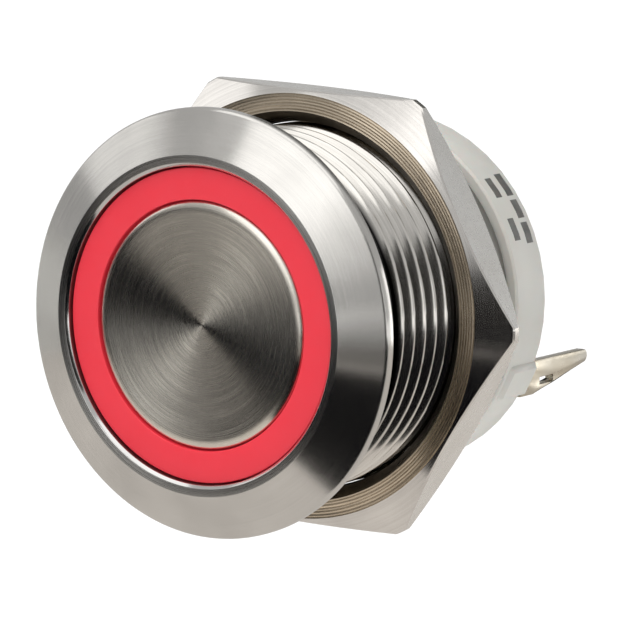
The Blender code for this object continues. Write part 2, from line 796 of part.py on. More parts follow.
def add_joint_empties():
    """Empties on the joints' axes carry the pieces that move together."""
    groups = {
        "press_axis": (place(0.0, 0.0, 0.0), ("button_cap", "stem", "stem_seal", "stem_clip")),
        "nut_axis": (place(0.0, NUT_FRONT, 0.0), ("hex_nut",)),
        "lever_axis": (
            place(LEVER_PIVOT_X, LEVER_DEPTH, 0.0),
            ("contact_lever", "moving_contact"),
        ),
    }
    bpy.context.view_layer.update()
    for name, (position, pieces) in groups.items():
        empty = bpy.data.objects.new(name, None)
        empty.location = position
        empty.empty_display_size = 2 * MM
        MODEL.objects.link(empty)
        bpy.context.view_layer.update()
        for piece in pieces:
            child = bpy.data.objects[piece]
            child.parent = empty
            child.matrix_parent_inverse = empty.matrix_world.inverted()


clear_scene()
MODEL = make_collection(NAME)
CUTTERS = make_collection("cutters")
make_bezel_housing()
make_panel_seal()
make_light_ring()
make_button_cap()
make_stem()
make_stem_seal()
make_stem_clip()
make_guide_sleeve()
make_return_spring()
make_led_board()
make_leds()
make_led_resistor()
make_hex_nut()
make_contact_block()
make_rear_cap()
make_no_terminal()
make_common_terminal()
make_nc_terminal()
make_led_terminals()
make_led_leads()
make_contact_lever()
make_contacts()
make_contact_springs()
shade_round_pieces()
add_joint_empties()
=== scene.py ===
"""Looks of a steel panel push button with an illuminated ring: materials, shapes, studio."""

from math import acos, cos, floor, hypot, pi, radians, sin, tan

import bmesh
import bpy
from mathutils import Matrix, Vector


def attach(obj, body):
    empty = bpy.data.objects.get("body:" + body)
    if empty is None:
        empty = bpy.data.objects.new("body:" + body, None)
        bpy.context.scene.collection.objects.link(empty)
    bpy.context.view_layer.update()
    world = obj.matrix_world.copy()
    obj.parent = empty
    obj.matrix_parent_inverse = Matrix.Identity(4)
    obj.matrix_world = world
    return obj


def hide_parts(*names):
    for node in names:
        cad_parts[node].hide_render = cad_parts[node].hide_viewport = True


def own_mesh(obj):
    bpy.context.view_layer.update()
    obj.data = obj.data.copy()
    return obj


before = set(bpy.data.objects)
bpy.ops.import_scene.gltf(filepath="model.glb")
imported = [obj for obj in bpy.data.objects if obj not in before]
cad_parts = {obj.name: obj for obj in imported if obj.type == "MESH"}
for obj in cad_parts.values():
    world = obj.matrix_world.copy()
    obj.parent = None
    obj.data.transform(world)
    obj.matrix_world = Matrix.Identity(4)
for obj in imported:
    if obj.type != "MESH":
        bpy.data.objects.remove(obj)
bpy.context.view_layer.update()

MM = 0.001

# The button's dimensions, in metres unless named otherwise. Depths are measured from the
# bezel's front plane, and the crest rounding is a share of the thread's pitch.
FLANGE_RADIUS = 11.0 * MM
FLANGE_DEPTH = 1.7 * MM
FLANGE_EDGE_DEPTH = 1.05 * MM
CONE_INNER_RADIUS = 8.68 * MM
BEZEL_BORE_RADIUS = 8.12 * MM
BEZEL_LIP = 0.16 * MM
BORE_STEP_RADIUS = 7.65 * MM
BORE_STEP_FRONT = 2.4 * MM
BORE_STEP_REAR = 3.4 * MM
GROOVE_FLOOR = 1.35 * MM
GROOVE_RADIUS = 10.42 * MM
SEAL_RADIUS = 9.93 * MM
SEAL_SECTION_RADIUS = 0.42 * MM
SEAL_DEPTH = FLANGE_DEPTH + 0.2 * MM
THREAD_RADIUS = 9.5 * MM
THREAD_ROOT_RADIUS = 8.95 * MM
THREAD_PITCH = 1.0 * MM
THREAD_START = 2.9 * MM
THREAD_PHASE_TURNS = 0.33
CREST_ROUNDING = 0.1
THREAD_ROWS_PER_TURN = 22
THREAD_END = 13.9 * MM
BARREL_END = 15.3 * MM
BARREL_BORE_RADIUS = 8.25 * MM
NUT_ACROSS_FLATS = 22.6 * MM
NUT_CORNER_RADIUS = 12.85 * MM
NUT_FACE_RADIUS = 11.1 * MM
NUT_TURN_DEGREES = -2.5
NUT_FRONT = 8.75 * MM
NUT_THICKNESS = 2.5 * MM
NUT_BORE_RADIUS = 9.62 * MM
NUT_CREST_RADIUS = 9.53 * MM
NUT_GROOVE = 0.3 * MM
NUT_COUNTERSINK = 0.55 * MM
NUT_EDGE = 0.07 * MM
NUT_CHAMFER_ANGLE = radians(30)
CAP_RADIUS = 6.3 * MM
CAP_FRONT = 0.35 * MM
CAP_REAR = 4.9 * MM
CAP_DISH = 0.22 * MM
CAP_RIM_WIDTH = 0.45 * MM
CAP_RIM_DEPTH = 0.2 * MM
CAP_INNER_FACE = 1.6 * MM
CAP_INNER_RADIUS = 5.65 * MM
CAP_SOCKET_RADIUS = 1.9 * MM
CAP_SOCKET_WALL_RADIUS = 2.6 * MM
CAP_SOCKET_REAR = 3.1 * MM
CAP_SOCKET_FLOOR = CAP_INNER_FACE + 0.1 * MM
RING_OUTER_RADIUS = 8.02 * MM
RING_INNER_RADIUS = 6.4 * MM
RING_FRONT = 0.34 * MM
RING_REAR = 4.6 * MM
RING_SHOULDER_RADIUS = 7.4 * MM
RING_SHOULDER_DEPTH = 2.15 * MM
RING_SEAM_DEPTH = 2.5 * MM

# Springs: mean radius, wire, front and rear depth in mm, turns, and what stays when the button
# is pressed home: the depth that doesn't move, in mm, and the share of the length that is kept
SPRINGS = {
    "return_spring": (4.3, 0.45, 1.75, 9.15, 6, 9.15, 0.73),
    "actuating_spring": (1.2, 0.25, 11.55, 13.95, 4, 14.532, 0.3125),
    "lever_return_spring": (1.0, 0.22, 14.45, 16.7, 4, 16.7, 0.72),
}

# Plain printed bars on the rear cap: first and last angle in degrees, near and far depth in mm
PRINTED_BARS = (
    (19.0, 26.0, 17.25, 17.85),
    (27.5, 34.0, 17.25, 17.85),
    (35.5, 44.0, 17.25, 17.85),
    (20.5, 28.0, 16.2, 16.75),
    (35.5, 43.0, 16.2, 16.75),
)

# Resolution
SEGMENTS = 256
SHARP_ANGLE = radians(28)

# Studio, in metres
FLOOR_Z = -0.12
FLOOR_REACH = 12.0
FLOOR_SHADE_Z = -0.1
FLOOR_SHADE_REACH = 0.6
BACKDROP_RADIUS = 1.5
BACKDROP_TOP = 1.5
BACKDROP_SIDES = 64
WORLD_STRENGTH = 0.55

# Cards round the button: name, distance, colour, and an outline of azimuths and elevations in
# degrees
SKY_CARDS = (
    ("left_band", 0.42, (0.006, 0.006, 0.007),
     ((-71, 4), (-62, 18), (-46, 15), (-30, 5), (-15, -3), (0, -8),
      (0, -38), (-15, -41), (-30, -32), (-46, -19), (-62, -13), (-71, -13))),
    ("left_shade", 0.45, (0.60, 0.60, 0.585),
     ((-104, 3), (-77, 3), (-77, -24), (-104, -24))),
    ("right_band", 0.40, (0.012, 0.011, 0.010),
     ((11, -17), (12, -9), (19, -2), (27, 6), (36, 20), (43, 31), (54, 32), (54, -17))),
    ("back_shade", 0.50, (0.10, 0.10, 0.095),
     ((158, 18), (158, 46), (210, 46), (210, 16))),
)

# Dark table in front of and below the button: x and y of its outline, in mm
FRONT_TABLE = (
    (20, -12), (4, -44), (-5, -64), (-30, -98), (-60, -150), (-60, -262),
    (88, -136), (100, -260), (350, -260), (350, -12),
)
FRONT_TABLE_Z = -50

# Lights: name, azimuth and elevation in degrees, distance, width and height, watts, and
# whether they light matt surfaces as well as shine on glossy ones
AREA_LIGHTS = (
    ("key", -8, 24, 0.6, (0.37, 0.42), 0.54, True),
    ("side", -74, 25, 0.38, (0.20, 0.15), 0.066, True),
    ("top", -5, 74, 0.6, (0.7, 0.5), 0.95, True),
    ("right_glint", 61, -5, 0.6, (0.11, 0.40), 0.085, False),
    ("rear_glint", 146, 0, 0.6, (0.13, 0.30), 0.24, False),
)
SKY_AZIMUTH = -10
SKY_ELEVATION = 55
SKY_STRENGTH = 2.3
SKY_ANGLE = radians(50)

# Camera: the photograph's viewing angle, on a square image
CAMERA_AZIMUTH = radians(34.5)
CAMERA_ELEVATION = radians(8.2)
CAMERA_DISTANCE = 251.86 * MM
CAMERA_SIDE = 6.283 * MM
CAMERA_RISE = 0.339 * MM
CAMERA_LENS = 281.25
CAMERA_SENSOR = 36.0


# --- node helpers -------------------------------------------------------------------------


class Nodes:
    """Short calls that add shader nodes to one material."""

    def __init__(self, name):
        self.material = bpy.data.materials.new(name)
        self.material.use_nodes = True
        self.tree = self.material.node_tree
        self.shader = self.tree.nodes["Principled BSDF"]

    def add(self, kind, **settings):
        node = self.tree.nodes.new(kind)
        for key, value in settings.items():
            setattr(node, key, value)
        return node

    def link(self, source, target):
        self.tree.links.new(source, target)

    def feed(self, socket, value):
        if isinstance(value, bpy.types.NodeSocket):
            self.link(value, socket)
        else:
            socket.default_value = value

    def math(self, operation, a, b=None):
        node = self.add("ShaderNodeMath", operation=operation)
        for socket, value in zip(node.inputs, (a, b)):
            if value is not None:
                self.feed(socket, value)
        return node.outputs[0]

    def position(self):
        """Object coordinates in metres, as separate x, y and z."""
        coordinates = self.add("ShaderNodeTexCoord")
        split = self.add("ShaderNodeSeparateXYZ")
        self.link(coordinates.outputs["Object"], split.inputs[0])
        return split.outputs

    def combine(self, x, y, z):
        node = self.add("ShaderNodeCombineXYZ")
        for socket, value in zip(node.inputs, (x, y, z)):
            self.feed(socket, value)
        return node.outputs[0]

    def noise(self, vector, scale, detail=3.0, roughness=0.5):
        node = self.add("ShaderNodeTexNoise")
        node.inputs["Scale"].default_value = scale
        node.inputs["Detail"].default_value = detail
        node.inputs["Roughness"].default_value = roughness
        self.feed(node.inputs["Vector"], vector)
        return node.outputs["Fac"]

    def depth_mm(self, y):
        """Depth from the bezel's front plane, in mm."""
        return self.math("MULTIPLY", self.math("ADD", y, FLANGE_DEPTH), 1 / MM)

    def remap(self, value, low, high, to_low, to_high):
        node = self.add("ShaderNodeMapRange")
        for socket, number in zip(node.inputs, (value, low, high, to_low, to_high)):
            self.feed(socket, number)
        return node.outputs[0]

    def mix(self, factor, a, b):
        node = self.add("ShaderNodeMix", data_type="RGBA")
        self.feed(node.inputs["Factor"], factor)
        for socket, value in ((node.inputs[6], a), (node.inputs[7], b)):
            self.feed(socket, (*value, 1.0) if isinstance(value, tuple) else value)
        return node.outputs[2]

    def bump(self, height, strength, distance):
        node = self.add("ShaderNodeBump")
        node.inputs["Strength"].default_value = strength
        node.inputs["Distance"].default_value = distance
        self.feed(node.inputs["Height"], height)
        self.link(node.outputs[0], self.shader.inputs["Normal"])

    def set(self, name, value):
        self.feed(self.shader.inputs[name], value)


def turned_metal(name, color, roughness, anisotropy, density, depth, stain=0.06, shadow=None):
    """Metal with circular tool marks about the axis, with a painted shadow: black as far back as
    shadow, in mm.

    The density of the marks is per metre, and their bump depth is in metres.
    """
    nodes = Nodes(name)
    x, y, z = nodes.position()
    radius = nodes.math("SQRT", nodes.math("ADD", nodes.math("MULTIPLY", x, x),
                                           nodes.math("MULTIPLY", z, z)))
    safe_radius = nodes.math("MAXIMUM", radius, 1e-5)
    across = nodes.math("DIVIDE", x, safe_radius)
    up = nodes.math("DIVIDE", z, safe_radius)
    path = nodes.math("ADD", radius, nodes.math("MULTIPLY", y, 0.7))
    along = nodes.math("MULTIPLY", path, density)
    marks = nodes.noise(nodes.combine(along, across, up), 1.0, 4.0, 0.65)
    fine = nodes.noise(nodes.combine(nodes.math("MULTIPLY", along, 3.1), across, up), 1.0, 2.0)
    cloud = nodes.noise(nodes.combine(x, y, z), 260.0, 3.0)
    shade = nodes.remap(marks, 0.3, 0.7, 1.0 - stain, 1.0 + stain)
    dark = tuple(channel * 0.84 for channel in color)
    tinted = nodes.mix(nodes.remap(cloud, 0.3, 0.7, 0.0, 1.0), dark, color)
    scaled = nodes.add("ShaderNodeMix", data_type="RGBA", blend_type="MULTIPLY")
    scaled.inputs["Factor"].default_value = 1.0
    nodes.link(tinted, scaled.inputs[6])
    nodes.link(nodes.combine(shade, shade, shade), scaled.inputs[7])
    finish = scaled.outputs[2]
    # Painted shadow: the steel turns black in front of the shadow depth and fades to its own
    # finish just behind it
    if shadow:
        clear = nodes.remap(nodes.depth_mm(y), shadow - 0.12, shadow + 0.05, 0.0, 1.0)
        finish = nodes.mix(clear, (0.012, 0.012, 0.012), finish)
    nodes.set("Base Color", finish)
    nodes.set("Metallic", 1.0)
    nodes.set("Roughness", nodes.remap(fine, 0.25, 0.75, roughness * 0.8, roughness * 1.25))
    nodes.set("Anisotropic", anisotropy)
    nodes.set("Anisotropic Rotation", 0.25)
    tangent = nodes.add("ShaderNodeTangent", direction_type="RADIAL", axis="Y")
    nodes.link(tangent.outputs[0], nodes.shader.inputs["Tangent"])
    nodes.bump(marks, 0.5, depth)
    return nodes.material


def plain_metal(name, color, roughness, grain=900.0, depth=2e-6, second=None):
    """Rolled, plated or drawn metal with fine handling marks."""
    nodes = Nodes(name)
    x, y, z = nodes.position()
    point = nodes.combine(x, y, z)
    cloud = nodes.noise(point, grain * 0.35, 4.0)
    streak = nodes.noise(nodes.combine(nodes.math("MULTIPLY", x, 0.25), y, z), grain * 2.5, 3.0)
    other = second or tuple(channel * 0.75 for channel in color)
    nodes.set("Base Color", nodes.mix(nodes.remap(cloud, 0.35, 0.65, 0.0, 1.0), color, other))
    nodes.set("Metallic", 1.0)
    nodes.set("Roughness", nodes.remap(streak, 0.25, 0.75, roughness * 0.7, roughness * 1.4))
    nodes.bump(streak, 0.4, depth)
    return nodes.material


def moulded(name, color, roughness, grain=1500.0, depth=4e-6, second=None):
    """Moulded plastic or rubber with a fine texture."""
    nodes = Nodes(name)
    x, y, z = nodes.position()
    point = nodes.combine(x, y, z)
    speck = nodes.noise(point, grain, 4.0)
    cloud = nodes.noise(point, grain * 0.12, 2.0)
    other = second or tuple(channel * 0.88 for channel in color)
    nodes.set("Base Color", nodes.mix(nodes.remap(cloud, 0.3, 0.7, 0.0, 1.0), color, other))
    nodes.set("Roughness", nodes.remap(speck, 0.3, 0.7, roughness * 0.85, roughness * 1.15))
    nodes.bump(speck, 0.3, depth)
    return nodes.material


# --- shape helpers ------------------------------------------------------------------------


def place(x, depth, z):
    """Point in the frame, from its depth behind the bezel's front plane."""
    return Vector((x, depth - FLANGE_DEPTH, z))


def polar(radius, angle):
    """Across and up of a point round the axis."""
    return radius * cos(angle), radius * sin(angle)


def fillet(profile, radius, steps=4):
    """The profile with its corners rounded. A third number is a corner's own radius."""
    rounded = [profile[0]]
    for before, corner, after in zip(profile, profile[1:], profile[2:]):
        here = Vector(corner[:2])
        back = Vector(before[:2]) - here
        ahead = Vector(after[:2]) - here
        own = corner[2] if len(corner) == 3 else radius
        reach = min(own, back.length * 0.45, ahead.length * 0.45)
        start = here + back.normalized() * reach
        end = here + ahead.normalized() * reach
        for i in range(steps + 1):
            share = i / steps
            point = start.lerp(here, share).lerp(here.lerp(end, share), share)
            rounded.append(tuple(point))
    rounded.append(profile[-1])
    return rounded


def grid_mesh(name, rows, closed_rows, sharp=SHARP_ANGLE):
    """Mesh over rows of points that each run round the axis. A row of one point is a pole."""
    shape = bmesh.new()
    built = [[shape.verts.new(point) for point in row] for row in rows]
    pairs = list(zip(built, built[1:]))
    if closed_rows:
        pairs.append((built[-1], built[0]))
    for near, far in pairs:
        count = max(len(near), len(far))
        for i in range(count):
            corners = (near[i % len(near)], near[(i - 1) % len(near)],
                       far[(i - 1) % len(far)], far[i % len(far)])
            shape.faces.new(list(dict.fromkeys(corners)))
    bmesh.ops.recalc_face_normals(shape, faces=shape.faces)
    mesh = bpy.data.meshes.new(name)
    shape.to_mesh(mesh)
    shape.free()
    mesh.shade_smooth()
    mesh.set_sharp_from_angle(angle=sharp)
    return mesh


def lathe(profile):
    """Rows of points for a turned piece from its (radius, depth) profile."""
    rows = []
    for radius, depth in profile:
        if radius == 0.0:
            rows.append([place(0.0, depth, 0.0)])
            continue
        row = []
        for i in range(SEGMENTS):
            across, up = polar(radius, 2 * pi * i / SEGMENTS)
            row.append(place(across, depth, up))
        rows.append(row)
    return rows


def add_object(name, data):
    obj = bpy.data.objects.new(name, data)
    bpy.context.scene.collection.objects.link(obj)
    return obj


def add_piece(name, mesh, materials, body, node):
    """Adds a piece that stands for a CAD node and rides on a body."""
    piece = add_object(name, mesh)
    for material in materials:
        mesh.materials.append(material)
    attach(piece, body)
    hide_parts(node)
    weigh = piece.modifiers.new("Normals", "WEIGHTED_NORMAL")
    weigh.keep_sharp = True
    return piece


# --- materials ----------------------------------------------------------------------------

SATIN_STEEL = turned_metal("satin_steel", (0.71, 0.69, 0.655), roughness=0.21,
                           anisotropy=0.9, density=22000.0, depth=1.5e-6)
# Painted reflection: a darker copy of the bezel steel on the flat band round the bore, for the
# dark surroundings it reflects
BAND_STEEL = turned_metal("band_steel", (0.52, 0.51, 0.49), roughness=0.27,
                          anisotropy=0.9, density=16000.0, depth=1.0e-6, stain=0.05)
BRIGHT_STEEL = turned_metal("bright_steel", (0.72, 0.71, 0.69), roughness=0.14,
                            anisotropy=0.3, density=16000.0, depth=0.6e-6)
CAP_STEEL = turned_metal("cap_steel", (0.885, 0.84, 0.75), roughness=0.24,
                         anisotropy=0.93, density=15000.0, depth=1.6e-6, stain=0.12)
NUT_STEEL = turned_metal("nut_steel", (0.79, 0.76, 0.72), roughness=0.17,
                         anisotropy=0.45, density=7000.0, depth=2.2e-6, stain=0.10)
NUT_FACE = turned_metal("nut_face", (0.60, 0.51, 0.395), roughness=0.24,
                        anisotropy=0.7, density=7000.0, depth=8.0e-6, stain=0.55)
# Painted shade: near-black steel on the nut's countersink and bore, for the shade inside the nut
NUT_BORE = turned_metal("nut_bore", (0.10, 0.08, 0.055), roughness=0.30,
                        anisotropy=0.5, density=6000.0, depth=4.0e-6, stain=0.35)
# Painted shade: a darker, rougher copy of the steel on the bezel's bore wall inside the recess;
# the barrel's rear end takes it too
COLLAR_STEEL = turned_metal("collar_steel", (0.31, 0.305, 0.29), roughness=0.38,
                            anisotropy=0.3, density=6000.0, depth=2.0e-6)
# Painted shadow: the groove and thread are black as far back as 4.6 mm, for the shade behind the
# flange and O-ring
THREAD_STEEL = turned_metal("thread_steel", (0.80, 0.77, 0.72), roughness=0.17,
                            anisotropy=0.3, density=9000.0, depth=1.5e-6, stain=0.14,
                            shadow=4.6)


def red_lens():
    """Translucent red plastic that glows faintly."""
    nodes = Nodes("red_lens")
    x, y, z = nodes.position()
    cloud = nodes.noise(nodes.combine(x, y, z), 300.0, 2.0)
    speck = nodes.noise(nodes.combine(x, y, z), 2600.0, 3.0)
    nodes.set("Base Color", nodes.mix(cloud, (0.53, 0.019, 0.033), (0.58, 0.024, 0.040)))
    nodes.set("Roughness", nodes.remap(speck, 0.3, 0.7, 0.36, 0.48))
    nodes.set("Subsurface Weight", 0.25)
    nodes.set("Subsurface Scale", 0.8 * MM)
    nodes.set("Subsurface Radius", (1.0, 0.15, 0.12))
    nodes.set("Emission Color", (0.90, 0.045, 0.075, 1.0))
    nodes.set("Emission Strength", 0.085)
    nodes.bump(speck, 0.2, 3e-6)
    return nodes.material


def marked_plastic():
    """Off-white plastic with a few plain printed bars on one side."""
    nodes = Nodes("rear_plastic")
    x, y, z = nodes.position()
    angle = nodes.math("MULTIPLY", nodes.math("ARCTAN2", z, x), 180 / pi)
    depth = nodes.depth_mm(y)
    ink = 0.0
    for first, last, near, far in PRINTED_BARS:
        inside = 1.0
        for value, middle, half in (
            (angle, (first + last) / 2, (last - first) / 2),
            (depth, (near + far) / 2, (far - near) / 2),
        ):
            off = nodes.math("ABSOLUTE", nodes.math("SUBTRACT", value, middle))
            inside = nodes.math("MULTIPLY", inside, nodes.math("LESS_THAN", off, half))
        ink = nodes.math("ADD", ink, inside)
    speck = nodes.noise(nodes.combine(x, y, z), 1400.0, 4.0)
    cloud = nodes.noise(nodes.combine(x, y, z), 180.0, 2.0)
    body = nodes.mix(cloud, (0.515, 0.505, 0.465), (0.59, 0.58, 0.54))
    worn = nodes.math("MULTIPLY", ink, nodes.remap(speck, 0.3, 0.7, 0.8, 0.95))
    nodes.set("Base Color", nodes.mix(worn, body, (0.045, 0.043, 0.04)))
    nodes.set("Roughness", nodes.remap(speck, 0.3, 0.7, 0.34, 0.46))
    nodes.set("Subsurface Weight", 0.15)
    nodes.set("Subsurface Scale", 0.6 * MM)
    nodes.bump(speck, 0.3, 4e-6)
    return nodes.material


NUT_FLAT = plain_metal("nut_flat", (0.84, 0.825, 0.79), roughness=0.28, grain=1300.0,
                       depth=4e-7, second=(0.79, 0.77, 0.73))
RED_LENS = red_lens()
REAR_PLASTIC = marked_plastic()
SEAL_RUBBER = moulded("seal_rubber", (0.012, 0.012, 0.013), roughness=0.55, grain=2200.0,
                      depth=6e-6)
TERMINAL_METAL = plain_metal("terminal_metal", (0.54, 0.515, 0.46), roughness=0.30,
                             grain=420.0, depth=1e-6, second=(0.53, 0.475, 0.37))

NODE_MATERIALS = {
    "stem": moulded("stem_plastic", (0.05, 0.05, 0.053), 0.42),
    "stem_seal": moulded("stem_rubber", (0.22, 0.03, 0.02), 0.55),
    "stem_clip": plain_metal("clip_steel", (0.35, 0.34, 0.33), 0.35),
    "guide_sleeve": moulded("guide_plastic", (0.06, 0.06, 0.064), 0.5),
    "led_board": moulded("board_laminate", (0.04, 0.17, 0.07), 0.4, grain=900.0),
    "led_resistor": moulded("resistor_ceramic", (0.03, 0.03, 0.03), 0.4),
    "contact_block": moulded("block_plastic", (0.66, 0.65, 0.61), 0.45),
    "led_positive_lead": moulded("red_insulation", (0.55, 0.03, 0.02), 0.4),
    "led_negative_lead": moulded("black_insulation", (0.02, 0.02, 0.022), 0.4),
    "contact_lever": plain_metal("lever_copper", (0.76, 0.44, 0.28), 0.26),
    "moving_contact": plain_metal("moving_silver", (0.86, 0.84, 0.80), 0.2),
    "nc_contact": plain_metal("nc_silver", (0.86, 0.84, 0.80), 0.2),
    "no_contact": plain_metal("no_silver", (0.86, 0.84, 0.80), 0.2),
}
for number in range(1, 5):
    NODE_MATERIALS[f"led_{number}"] = moulded(f"led_resin_{number}", (0.85, 0.80, 0.45), 0.25)


def dress_nodes():
    """Better materials on the CAD nodes that stay."""
    for node, material in NODE_MATERIALS.items():
        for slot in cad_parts[node].material_slots:
            slot.material = material


# --- bezel and barrel ---------------------------------------------------------------------


def thread_radius(angle, depth):
    """Radius of the barrel's outside, with a helical thread that fades at its ends."""
    turn = (depth - THREAD_START) / THREAD_PITCH - angle / (2 * pi) - THREAD_PHASE_TURNS
    off = turn - floor(turn) - 0.5
    root = hypot(0.5, CREST_ROUNDING)
    height = (root - hypot(off, CREST_ROUNDING)) / (root - CREST_ROUNDING)
    fade = min((depth - THREAD_START) / (0.5 * THREAD_PITCH),
               (THREAD_END - depth) / (0.5 * THREAD_PITCH))
    height *= min(max(fade, 0.0), 1.0)
    return THREAD_ROOT_RADIUS + (THREAD_RADIUS - THREAD_ROOT_RADIUS) * height


def make_bezel():
    """Turned bezel, threaded barrel and collar as one closed skin."""
    front = [
        (BEZEL_BORE_RADIUS, BORE_STEP_FRONT),
        (BEZEL_BORE_RADIUS, BEZEL_LIP),
        (BEZEL_BORE_RADIUS + BEZEL_LIP, 0.0),
        (CONE_INNER_RADIUS, 0.0),
        (FLANGE_RADIUS, FLANGE_EDGE_DEPTH, 0.19 * MM),
        (FLANGE_RADIUS, FLANGE_DEPTH - 0.2 * MM),
        (FLANGE_RADIUS - 0.2 * MM, FLANGE_DEPTH),
        (GROOVE_RADIUS, FLANGE_DEPTH),
        (GROOVE_RADIUS, GROOVE_FLOOR),
        (THREAD_ROOT_RADIUS, GROOVE_FLOOR),
        (THREAD_ROOT_RADIUS, THREAD_START),
    ]
    rows = lathe(fillet(front, 0.03 * MM, 3))
    depth_steps = int((THREAD_END - THREAD_START) / (THREAD_PITCH / THREAD_ROWS_PER_TURN))
    for i in range(1, depth_steps):
        depth = THREAD_START + (THREAD_END - THREAD_START) * i / depth_steps
        row = []
        for j in range(SEGMENTS):
            angle = 2 * pi * j / SEGMENTS
            across, up = polar(thread_radius(angle, depth), angle)
            row.append(place(across, depth, up))
        rows.append(row)
    rear = [
        (THREAD_ROOT_RADIUS, THREAD_END),
        (THREAD_ROOT_RADIUS, BARREL_END),
        (BARREL_BORE_RADIUS, BARREL_END),
        (BARREL_BORE_RADIUS, BORE_STEP_REAR),
        (BORE_STEP_RADIUS, BORE_STEP_REAR),
        (BORE_STEP_RADIUS, BORE_STEP_FRONT),
    ]
    rows += lathe(fillet(rear, 0.05 * MM, 3))
    mesh = grid_mesh("bezel_and_barrel", rows, True)
    materials = (SATIN_STEEL, BAND_STEEL, BRIGHT_STEEL, THREAD_STEEL, COLLAR_STEEL)
    band, bright, thread, collar = range(1, 5)
    add_piece("bezel_and_barrel", mesh, materials, "housing", "bezel_housing")
    for face in mesh.polygons:
        centre = face.center
        depth = centre.y + FLANGE_DEPTH
        radius = hypot(centre.x, centre.z)
        # The bore wall behind the lip gets the darker steel as painted shade
        if depth < BORE_STEP_FRONT and radius < BEZEL_BORE_RADIUS + 0.005 * MM:
            face.material_index = collar
        elif depth > THREAD_END and radius > BARREL_BORE_RADIUS + 0.1 * MM:
            face.material_index = collar
        elif depth > GROOVE_FLOOR - 0.02 * MM and radius < GROOVE_RADIUS + 0.08 * MM:
            face.material_index = thread
        elif radius < BEZEL_BORE_RADIUS + BEZEL_LIP - 0.01 * MM:
            face.material_index = bright
        # The flat band gets the darker steel as a painted dark reflection
        elif radius < CONE_INNER_RADIUS:
            face.material_index = band


def make_panel_seal():
    """Rubber O-ring behind the flange."""
    sides = 20
    profile = []
    for i in range(sides):
        outward, back = polar(SEAL_SECTION_RADIUS, 2 * pi * i / sides)
        profile.append((SEAL_RADIUS + outward, SEAL_DEPTH + back))
    mesh = grid_mesh("o_ring", lathe(profile), True)
    add_piece("o_ring", mesh, (SEAL_RUBBER,), "housing", "panel_seal")


def make_light_ring():
    """Red lens ring; its profile starts and ends at a seam on the inner wall."""
    profile = [
        (RING_INNER_RADIUS, RING_SEAM_DEPTH),
        (RING_INNER_RADIUS, RING_FRONT),
        (RING_OUTER_RADIUS, RING_FRONT),
        (RING_OUTER_RADIUS, RING_SHOULDER_DEPTH),
        (RING_SHOULDER_RADIUS, RING_SHOULDER_DEPTH),
        (RING_SHOULDER_RADIUS, RING_REAR),
        (RING_INNER_RADIUS, RING_REAR),
        (RING_INNER_RADIUS, RING_SEAM_DEPTH),
    ]
    mesh = grid_mesh("red_ring", lathe(fillet(profile, 0.06 * MM)[:-1]), True)
    add_piece("red_ring", mesh, (RED_LENS,), "housing", "light_ring")


def make_button_cap():
    """Dished cap with a rounded rim, a skirt and a socket for the stem."""
    dish_steps = 40
    rim_steps = 12
    dish_radius = CAP_RADIUS - CAP_RIM_WIDTH
    profile = [(0.0, CAP_FRONT + CAP_DISH)]
    for i in range(1, dish_steps + 1):
        share = i / dish_steps
        profile.append((dish_radius * share, CAP_FRONT + CAP_DISH * (1 - share ** 2)))
    for i in range(1, rim_steps + 1):
        angle = pi / 2 * i / rim_steps
        profile.append((dish_radius + CAP_RIM_WIDTH * sin(angle),
                        CAP_FRONT + CAP_RIM_DEPTH * (1 - cos(angle))))
    profile += [
        (CAP_RADIUS, CAP_REAR),
        (CAP_INNER_RADIUS, CAP_REAR),
        (CAP_INNER_RADIUS, CAP_INNER_FACE),
        (CAP_SOCKET_WALL_RADIUS, CAP_INNER_FACE),
        (CAP_SOCKET_WALL_RADIUS, CAP_SOCKET_REAR),
        (CAP_SOCKET_RADIUS, CAP_SOCKET_REAR),
        (CAP_SOCKET_RADIUS, CAP_SOCKET_FLOOR),
        (0.0, CAP_SOCKET_FLOOR),
    ]
    mesh = grid_mesh("brushed_cap", lathe(profile), False)
    add_piece("brushed_cap", mesh, (CAP_STEEL,), "button", "button_cap")


# --- nut ----------------------------------------------------------------------------------


def hexagon_radius(angle):
    """Distance from the axis to the hexagon's side, with the corners turned off."""
    local = (angle - radians(NUT_TURN_DEGREES)) % (pi / 3) - pi / 6
    return min(NUT_ACROSS_FLATS / 2 / cos(local), NUT_CORNER_RADIUS)


def nut_bore_radius(angle, depth):
    """Bore with a shallow helical groove."""
    turn = depth / THREAD_PITCH - angle / (2 * pi)
    share = turn - floor(turn)
    return NUT_CREST_RADIUS + NUT_GROOVE * (1 - abs(2 * share - 1))


